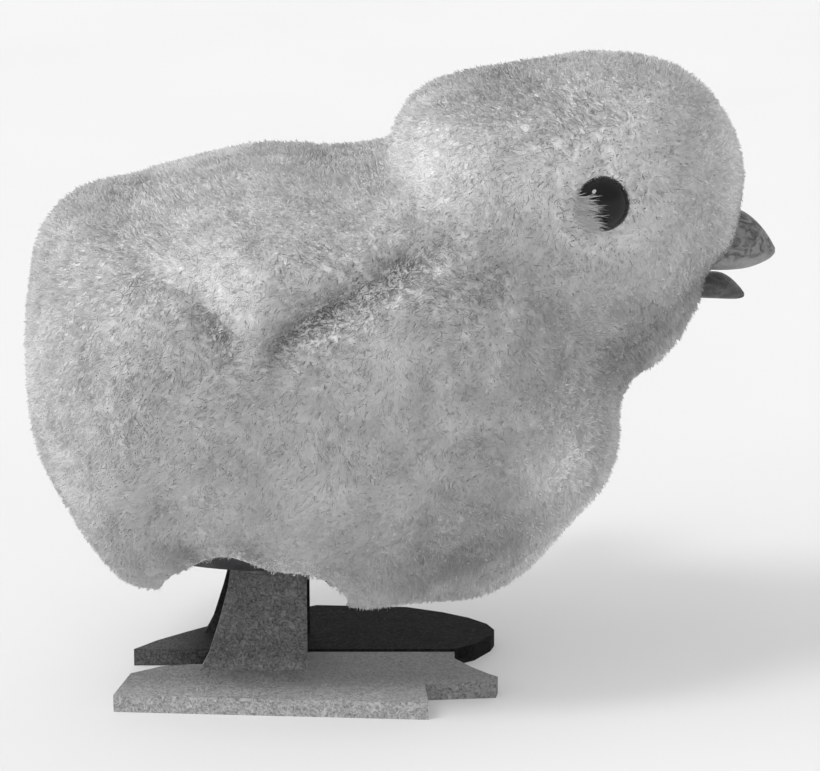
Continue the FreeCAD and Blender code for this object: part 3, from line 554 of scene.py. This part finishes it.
def pile_tone(roots):
    """How light the pile is at each root, from 0 to 1: soft random patches, a darker seam, the
    painted light and shade of PATCHES, and painted shade in the folds under the wings, round the
    eyes and round the beak.
    """
    tone = 0.70 + 0.10 * soft_noise(roots, 7.5, 31)[:, 0] + 0.12 * soft_noise(roots, 2.2, 32)[:, 0]
    # The fold under each wing is painted darker: painted shade where the wing's edge overhangs it.
    # The seam along the top is darker as well.
    tone -= 0.50 * crease_strength(roots) + 0.22 * seam_strength(roots)
    for x, z, radius, change in PATCHES:
        squared = (roots[:, 0] - x) ** 2 + (roots[:, 2] - z) ** 2
        tone += change * np.exp(-squared / (radius * radius))
    # Painted shade in the pile round each eye.
    for middle in EYES.values():
        tone -= 0.14 * (1.0 - ramp(np.linalg.norm(roots - middle, axis=1), 3.0, 5.0))
    # Painted shade in the pile round the beak.
    return tone - 0.55 * (1.0 - ramp(np.linalg.norm(roots - BEAK, axis=1), 3.6, 8.0))


def pile_object(name, roots, knees, tips, shade, tone, material, seed):
    """One mesh of blades: each is a thin bent kite from its root over its knee to its tip."""
    rng = np.random.default_rng(seed)
    count = len(roots)
    along = unit(tips - roots)
    side = unit(np.cross(along, shade))
    turn = rng.uniform(-0.8, 0.8, count)[:, None]
    side = unit(side * np.cos(turn) + np.cross(along, side) * np.sin(turn))
    width = (BLADE_WIDTH * rng.uniform(0.7, 1.2, count) / 2)[:, None]
    points = np.stack([
        roots - side * width, roots + side * width, tips, knees - side * width], axis=1)
    mesh = bpy.data.meshes.new(name)
    mesh.vertices.add(count * 4)
    mesh.vertices.foreach_set("co", (points * MM).ravel())
    mesh.loops.add(count * 4)
    mesh.loops.foreach_set("vertex_index", np.arange(count * 4))
    mesh.polygons.add(count)
    mesh.polygons.foreach_set("loop_start", np.arange(count) * 4)
    mesh.update(calc_edges=True)
    mesh.polygons.foreach_set("use_smooth", np.ones(count, dtype=bool))
    mesh.normals_split_custom_set_from_vertices(np.repeat(shade, 4, axis=0))
    height = mesh.attributes.new("height", "FLOAT", "POINT")
    height.data.foreach_set("value", np.tile([0.0, 0.0, 1.0, 0.55], count))
    tuft = mesh.attributes.new("tuft", "FLOAT", "POINT")
    tuft.data.foreach_set("value", np.repeat(tone, 4))
    thing = bpy.data.objects.new(name, mesh)
    SCENE.collection.objects.link(thing)
    mesh.materials.append(material)
    return thing


# ---- Materials -------------------------------------------------------------------------------


class Paint:
    """A material being put together from nodes."""

    def __init__(self, name, roughness=0.5, metallic=0.0):
        self.material = bpy.data.materials.new(name)
        self.material.use_nodes = True
        self.tree = self.material.node_tree
        self.shader = self.tree.nodes["Principled BSDF"]
        self.shader.inputs["Roughness"].default_value = roughness
        self.shader.inputs["Metallic"].default_value = metallic
        self.place = self.tree.nodes.new("ShaderNodeTexCoord").outputs["Object"]

    def link(self, value, socket):
        if isinstance(value, (int, float)):
            socket.default_value = value
        elif isinstance(value, tuple):
            socket.default_value = (*value, 1.0) if len(value) == 3 else value
        else:
            self.tree.links.new(value, socket)

    def noise(self, grain, detail=3.0, stretch=(1.0, 1.0, 1.0), roughness=0.55, warp=0.0):
        """Smooth noise from 0 to 1; grain is the size of its patches in millimetres."""
        mapping = self.tree.nodes.new("ShaderNodeMapping")
        mapping.inputs["Scale"].default_value = stretch
        self.link(self.place, mapping.inputs["Vector"])
        node = self.tree.nodes.new("ShaderNodeTexNoise")
        node.inputs["Scale"].default_value = 1.0 / (grain * MM)
        node.inputs["Detail"].default_value = detail
        node.inputs["Roughness"].default_value = roughness
        node.inputs["Distortion"].default_value = warp
        self.link(mapping.outputs["Vector"], node.inputs["Vector"])
        return node.outputs["Fac"]

    def span(self, value, low, high, to_low=0.0, to_high=1.0):
        node = self.tree.nodes.new("ShaderNodeMapRange")
        node.interpolation_type = "SMOOTHSTEP"
        self.link(value, node.inputs["Value"])
        for socket, number in (("From Min", low), ("From Max", high),
                               ("To Min", to_low), ("To Max", to_high)):
            node.inputs[socket].default_value = number
        return node.outputs["Result"]

    def math(self, kind, first, second):
        node = self.tree.nodes.new("ShaderNodeMath")
        node.operation = kind
        self.link(first, node.inputs[0])
        self.link(second, node.inputs[1])
        return node.outputs["Value"]

    def mix(self, share, first, second, kind="MIX"):
        node = self.tree.nodes.new("ShaderNodeMix")
        node.data_type = "RGBA"
        node.blend_type = kind
        self.link(share, node.inputs["Factor"])
        self.link(first, node.inputs["A"])
        self.link(second, node.inputs["B"])
        return next(socket for socket in node.outputs if socket.type == "RGBA")

    def attribute(self, name):
        node = self.tree.nodes.new("ShaderNodeAttribute")
        node.attribute_name = name
        return node.outputs["Fac"]

    def axis(self, letter):
        node = self.tree.nodes.new("ShaderNodeSeparateXYZ")
        self.link(self.place, node.inputs["Vector"])
        return node.outputs[letter]

    def colour(self, value):
        self.link(value, self.shader.inputs["Base Color"])

    def roughness(self, value):
        self.link(value, self.shader.inputs["Roughness"])

    def bump(self, height, depth):
        node = self.tree.nodes.new("ShaderNodeBump")
        node.inputs["Strength"].default_value = 1.0
        node.inputs["Distance"].default_value = depth * MM
        self.link(height, node.inputs["Height"])
        self.link(node.outputs["Normal"], self.shader.inputs["Normal"])


def grey(level):
    """A neutral colour, as the object's own colours aren't known."""
    return (level, level, level)


def pile_material(name, dark, light):
    """Pile that light passes through, painted darker toward its roots as shade among the blades,
    and toned by each blade's tuft value, which carries the painted light and shade of pile_tone.
    """
    paint = Paint(name, roughness=0.85)
    paint.shader.inputs["Sheen Weight"].default_value = 0.4
    paint.shader.inputs["Sheen Roughness"].default_value = 0.5
    paint.shader.inputs["Specular IOR Level"].default_value = 0.15
    patches = paint.span(paint.noise(1.6, 4.0), 0.3, 0.7)
    share = paint.math("ADD", paint.math("MULTIPLY", patches, 0.06), paint.attribute("tuft"))
    tone = paint.mix(share, grey(dark), grey(light))
    # Painted shade: each blade is darker toward its root, deep among the other blades.
    root_shade = paint.span(paint.attribute("height"), 0.0, 0.8, 0.88, 1.0)
    tone = paint.mix(1.0, tone, root_shade, "MULTIPLY")
    paint.colour(tone)
    paint.roughness(paint.span(paint.noise(1.2), 0.3, 0.7, 0.75, 0.95))
    through = paint.tree.nodes.new("ShaderNodeBsdfTranslucent")
    paint.link(tone, through.inputs["Color"])
    both = paint.tree.nodes.new("ShaderNodeMixShader")
    both.inputs["Fac"].default_value = 0.5
    paint.link(paint.shader.outputs["BSDF"], both.inputs[1])
    paint.link(through.outputs["BSDF"], both.inputs[2])
    output = paint.tree.nodes["Material Output"]
    paint.link(both.outputs["Shader"], output.inputs["Surface"])
    return paint.material


def backing_material():
    """The knitted cloth that the pile grows from."""
    paint = Paint("knitted_backing", roughness=0.9)
    knit = paint.noise(0.35, 2.0, (1.0, 1.0, 2.2))
    patches = paint.noise(5.0)
    tone = paint.mix(knit, grey(0.62), grey(0.68))
    paint.colour(paint.mix(paint.span(patches, 0.3, 0.7, 0.0, 0.4), tone, grey(0.60)))
    paint.bump(knit, 0.06)
    return paint.material


def tin_enamel(name, dark, light, gloss, sole, heel):
    """Dark paint on stamped tin, mottled and grainy, with painted light on the sole, most toward
    its outer edge, and on the heel, where light reaches past the body.
    """
    paint = Paint(name, roughness=0.6)
    paint.shader.inputs["Specular IOR Level"].default_value = gloss
    blotch = paint.span(paint.noise(3.5, 5.0, warp=1.5), 0.3, 0.7)
    worms = paint.span(paint.noise(0.75, 5.0, roughness=0.7, warp=2.5), 0.32, 0.68)
    fine = paint.noise(0.22, 4.0, roughness=0.7)
    tone = paint.mix(worms, grey(dark), grey(light))
    tone = paint.mix(paint.math("MULTIPLY", blotch, 0.35), tone, grey(dark * 0.8))
    tone = paint.mix(paint.span(fine, 0.35, 0.8, 0.0, 0.5), tone, grey(light * 1.5))
    specks = paint.span(paint.noise(0.6, 6.0, roughness=0.8), 0.63, 0.70)
    tone = paint.mix(specks, tone, grey(min(0.5, light * 2.0)))
    # Painted light: a lighter tone laid on the parts of the foot that the light reaches.
    lit_enamel = paint.mix(worms, grey(0.12), grey(0.50))
    lit_enamel = paint.mix(paint.span(fine, 0.35, 0.7, 0.0, 0.6), lit_enamel, grey(0.62))
    # The sole is painted lighter toward its outer edge, which the body shades least, and the heel
    # is painted lighter too.
    outward = paint.span(paint.math("ABSOLUTE", paint.axis("Y"), 0.0), 7.0 * MM, 14.0 * MM, 0.3)
    low = paint.span(paint.axis("Z"), 1.6 * MM, 3.6 * MM, sole, 0.0)
    low = paint.math("MULTIPLY", low, outward)
    back = paint.span(paint.axis("X"), -24.0 * MM, -16.0 * MM, heel, 0.0)
    tone = paint.mix(paint.math("MAXIMUM", low, back), tone, lit_enamel)
    paint.colour(tone)
    paint.roughness(paint.span(worms, 0.2, 0.8, 0.45, 0.75))
    paint.bump(paint.math("ADD", paint.math("MULTIPLY", fine, 0.5),
                          paint.math("MULTIPLY", worms, 0.7)), 0.12)
    return paint.material


def beak_material():
    """Streaked dark enamel, darker below the mouth, with painted light along the upper beak's lower
    edge, where its curved underside catches the light.
    """
    paint = Paint("beak_enamel", roughness=0.4)
    streaks = paint.span(paint.noise(1.1, 5.0, (0.5, 1.0, 1.0), warp=2.0), 0.38, 0.62)
    fine = paint.noise(0.3, 3.0)
    tone = paint.mix(streaks, grey(0.04), grey(0.20))
    tone = paint.mix(paint.span(fine, 0.3, 0.8, 0.0, 0.35), tone, grey(0.26))
    height = paint.axis("Z")
    lower = paint.span(height, 39.6 * MM, 40.4 * MM, 0.6, 0.0)
    tone = paint.mix(lower, tone, grey(0.03))
    # Painted light: a lighter band along the upper beak's lower edge.
    edge = paint.math("MULTIPLY", paint.span(height, 40.0 * MM, 40.6 * MM),
                      paint.span(height, 41.2 * MM, 42.4 * MM, 0.7, 0.0))
    paint.colour(paint.mix(edge, tone, grey(0.34)))
    paint.roughness(paint.span(fine, 0.3, 0.7, 0.35, 0.6))
    paint.bump(streaks, 0.06)
    return paint.material


def bead_material():
    """Black glass with a faint haze."""
    paint = Paint("bead_glass", roughness=0.12)
    paint.shader.inputs["Specular IOR Level"].default_value = 0.35
    haze = paint.noise(1.4, 4.0)
    paint.colour(paint.mix(haze, grey(0.0008), grey(0.002)))
    paint.roughness(paint.span(haze, 0.35, 0.75, 0.05, 0.12))
    paint.bump(paint.noise(0.8, 2.0), 0.008)
    return paint.material


def metal(name, dark, light, roughness, grain, brushed=(1.0, 1.0, 1.0)):
    """Bare metal with fine scratches and patches of tarnish."""
    paint = Paint(name, roughness=roughness, metallic=1.0)
    scratches = paint.noise(grain, 4.0, brushed)
    tarnish = paint.span(paint.noise(4.0, 5.0, warp=1.0), 0.35, 0.7)
    tone = paint.mix(scratches, dark, light)
    worn = tuple(c * 0.55 for c in dark)
    paint.colour(paint.mix(paint.span(tarnish, 0.2, 1.0, 0.0, 0.6), tone, worn))
    paint.roughness(paint.span(scratches, 0.3, 0.7, roughness * 0.75, min(1.0, roughness * 1.4)))
    paint.bump(scratches, 0.02)
    return paint.material


# ---- Making the pieces -----------------------------------------------------------------------

plush = pile_material("plush_pile", 0.18, 0.86)
wing_plush = pile_material("wing_pile", 0.20, 0.88)
backing = backing_material()

body_points, body_quads = blended_body()
body_points = dabbed(body_points, body_quads)
body_points = creased(body_points, body_quads)
body_points = lumpy(body_points, body_quads, 0.2, 6.0, 3)
skin_points, skin_quads = open_holes(body_points, body_quads)
skin_normals = vertex_normals(skin_points, skin_quads)


def soft_shell(name, points, quads, thick):
    """A sheet of backing with real thickness inward."""
    thing = mesh_object(name, points, quads.tolist())
    solid = thing.modifiers.new("thickness", "SOLIDIFY")
    solid.thickness = thick * MM
    solid.offset = -1.0
    apply_modifiers(thing)
    thing.data.materials.clear()
    thing.data.materials.append(backing)
    thing.data.polygons.foreach_set("use_smooth", np.ones(len(thing.data.polygons), dtype=bool))
    return thing


skin = soft_shell("plush_skin", skin_points, skin_quads, BACKING_THICK)
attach(skin, "chassis")
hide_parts("plush_cover")

# ---- Wing pieces -----------------------------------------------------------------------------



def wing_sheet(side):
    """One wing as a sheet lifted off the body, most along its lower edge: points and quads."""
    middles = skin_points[skin_quads].mean(axis=1)
    chosen = skin_quads[(wing_gap(middles) > 0.0) & (middles[:, 1] * side > 0.0)]
    used, quads = np.unique(chosen, return_inverse=True)
    quads = quads.reshape(-1, 4)
    points, normals = skin_points[used], skin_normals[used]
    depth = wing_gap(points)
    edge = boundary_points(quads, len(points))
    points[edge] = settled(points[edge], wing_gap)
    low = 1.0 - ramp(points[:, 2], 43.0, 49.0)
    rise = WING_LIFT * (0.25 + 0.75 * ramp(depth, 0.0, 2.5)) + 0.35 * (1.0 - ramp(depth, 0.0, 3.0))
    rise *= 0.12 + 0.88 * low
    return points + normals * rise[:, None], quads


wings = {}
for side_name, side in (("right", -1.0), ("left", 1.0)):
    points, quads = wing_sheet(side)
    piece = soft_shell("wing_skin_" + side_name, points, quads, WING_THICK)
    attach(piece, "chassis")
    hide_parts("wing_" + side_name)
    wings[side_name] = (points, quads, vertex_normals(points, quads))

# ---- Growing the pile ------------------------------------------------------------------------

rng = np.random.default_rng(5)
roots, normals = scatter(skin_points, skin_quads, skin_normals, DENSITY, rng)
covered = wing_gap(roots) > WING_COVER
roots, normals = roots[~covered], normals[~covered]
knees, tips, shade, tone = grow(roots, normals, 21)
blades = [(roots, knees, tips, shade, tone)]
blades += [brow_blades(middle, 91) for middle in EYES.values()]
roots, knees, tips, shade, tone = (np.concatenate(parts) for parts in zip(*blades))
# The body's pile is cut into stretches along X, each with a right and a left half
STRETCHES = {"rump": (-math.inf, -9.0), "flank": (-9.0, 7.0), "head": (7.0, math.inf)}
number = 0
for label, (back, front) in STRETCHES.items():
    within = (roots[:, 0] >= back) & (roots[:, 0] < front)
    for side_name, half in (("right", roots[:, 1] < 0.0), ("left", roots[:, 1] >= 0.0)):
        pick = within & half
        piece = pile_object("pile_" + label + "_" + side_name, roots[pick], knees[pick],
                            tips[pick], shade[pick], tone[pick], plush, 40 + number)
        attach(piece, "chassis")
        number += 1
for number, (side_name, (points, quads, normals)) in enumerate(wings.items()):
    roots, lift = scatter(points, quads, normals, DENSITY, np.random.default_rng(60 + number))
    knees, tips, shade, tone = grow(roots, lift, 70 + number, wild=0.7, longer=0.95)
    piece = pile_object("pile_wing_" + side_name, roots, knees, tips, shade, tone, wing_plush,
                        80 + number)
    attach(piece, "chassis")

# ---- CAD pieces that stay --------------------------------------------------------------------

finishes = {
    # The shell's tin is made dark: painted shade for the inside of the body seen through the leg
    # opening, which the shadowless fill lights would otherwise light up.
    "shell_tin": metal("shell_tin", (0.10, 0.10, 0.105), (0.20, 0.20, 0.205), 0.45, 0.5),
    "bead_glass": bead_material(),
    "beak_enamel": beak_material(),
    "foot_enamel": tin_enamel("foot_enamel", 0.03, 0.20, 0.3, 0.85, 0.2),
    "frame_tin": metal("frame_tin", (0.36, 0.36, 0.35), (0.55, 0.55, 0.54), 0.36, 0.3,
                       (1.0, 1.0, 0.15)),
    "gear_brass": metal("gear_brass", (0.50, 0.36, 0.14), (0.72, 0.56, 0.26), 0.32, 0.25),
    "arbor_steel": metal("arbor_steel", (0.34, 0.34, 0.35), (0.56, 0.56, 0.57), 0.28, 0.2,
                         (1.0, 0.1, 1.0)),
    "spring_steel": metal("spring_steel", (0.12, 0.13, 0.16), (0.26, 0.27, 0.30), 0.3, 0.3),
    "key_tin": metal("key_tin", (0.33, 0.33, 0.33), (0.56, 0.56, 0.55), 0.34, 0.4),
    "eyelet_brass": metal("eyelet_brass", (0.45, 0.33, 0.14), (0.66, 0.52, 0.25), 0.3, 0.3),
}
# A darker, less glossy copy of the foot enamel with no light on its sole: painted shade for the far
# foot, which lies in shadow under the body; only its heel keeps a little painted light.
shaded_foot_enamel = tin_enamel("foot_enamel_in_shade", 0.002, 0.028, 0.02, 0.0, 0.22)
node_slots = {part["node"]: part["material_slot"] for part in frame["record"]["subparts"]}
for name, thing in frame["nodes"].items():
    finish = finishes.get(node_slots[name], backing)
    # The far foot takes the copy with painted shade.
    if name == "left_foot":
        finish = shaded_foot_enamel
    for place in thing.material_slots:
        place.material = finish
    if not thing.material_slots:
        thing.data.materials.append(finish)

# ---- Floor, light and camera -----------------------------------------------------------------

floor_paint = Paint("pale_floor", roughness=0.9)
floor_paint.colour(floor_paint.mix(floor_paint.noise(40.0, 2.0), grey(0.65), grey(0.68)))
FLOOR_HALF = 3000
corners = [(x * FLOOR_HALF, y * FLOOR_HALF, 0) for x, y in ((-1, -1), (1, -1), (1, 1), (-1, 1))]
floor = mesh_object("floor", corners, [(0, 1, 2, 3)])
floor.data.materials.append(floor_paint.material)


def studio_sun(name, energy, spread, way, shadow):
    """A soft light shining along way; a fill light throws no shadow and no highlight."""
    data = bpy.data.lights.new(name, "SUN")
    data.energy = energy
    data.angle = math.radians(spread)
    data.use_shadow = shadow
    light = bpy.data.objects.new(name, data)
    light.rotation_euler = Vector(way).to_track_quat("-Z", "Y").to_euler()
    light.visible_glossy = shadow
    SCENE.collection.objects.link(light)


studio_sun("key_light", 0.9, 16.0, (0.50, 0.30, -0.80), True)
studio_sun("top_fill", 0.55, 60.0, (0.50, 0.30, -0.80), False)
studio_sun("side_fill", 2.4, 60.0, (0.90, 0.20, -0.40), False)
studio_sun("front_fill", 0.30, 60.0, (0.10, 0.93, -0.35), False)
studio_sun("back_fill", 0.5, 60.0, (-0.30, -0.90, -0.30), False)

# White studio walls that fade toward a dimmer ceiling
world = bpy.data.worlds.new("studio")
world.use_nodes = True
sky = world.node_tree
sky_height = sky.nodes.new("ShaderNodeSeparateXYZ")
sky_fade = sky.nodes.new("ShaderNodeMapRange")
sky_fade.interpolation_type = "SMOOTHSTEP"
for socket, number in (("From Min", 0.05), ("From Max", 0.6), ("To Min", 0.92), ("To Max", 0.58)):
    sky_fade.inputs[socket].default_value = number
sky.links.new(sky.nodes.new("ShaderNodeTexCoord").outputs["Generated"], sky_height.inputs[0])
sky.links.new(sky_height.outputs["Z"], sky_fade.inputs["Value"])
sky.links.new(sky_fade.outputs["Result"], sky.nodes["Background"].inputs["Strength"])
sky.nodes["Background"].inputs["Color"].default_value = (1.0, 1.0, 1.0, 1.0)
SCENE.world = world
SCENE.view_settings.view_transform = "Standard"

AIM = Vector((0.97, 2.40, 27.91)) * MM
PITCH = math.radians(16.0)
DISTANCE = 445.0 * MM
HALF_VIEW = 39.5753 * MM  # what the camera sees to either side of the point it aims at
camera_data = bpy.data.cameras.new("camera")
camera = bpy.data.objects.new("camera", camera_data)
SCENE.collection.objects.link(camera)
camera_data.sensor_fit = "HORIZONTAL"
camera_data.angle = 2 * math.atan(HALF_VIEW / DISTANCE)
camera_data.clip_start = 0.01
camera.location = AIM - Vector((0.0, math.cos(PITCH), -math.sin(PITCH))) * DISTANCE
camera.rotation_euler = (math.radians(90.0) - PITCH, 0.0, 0.0)
SCENE.camera = camera
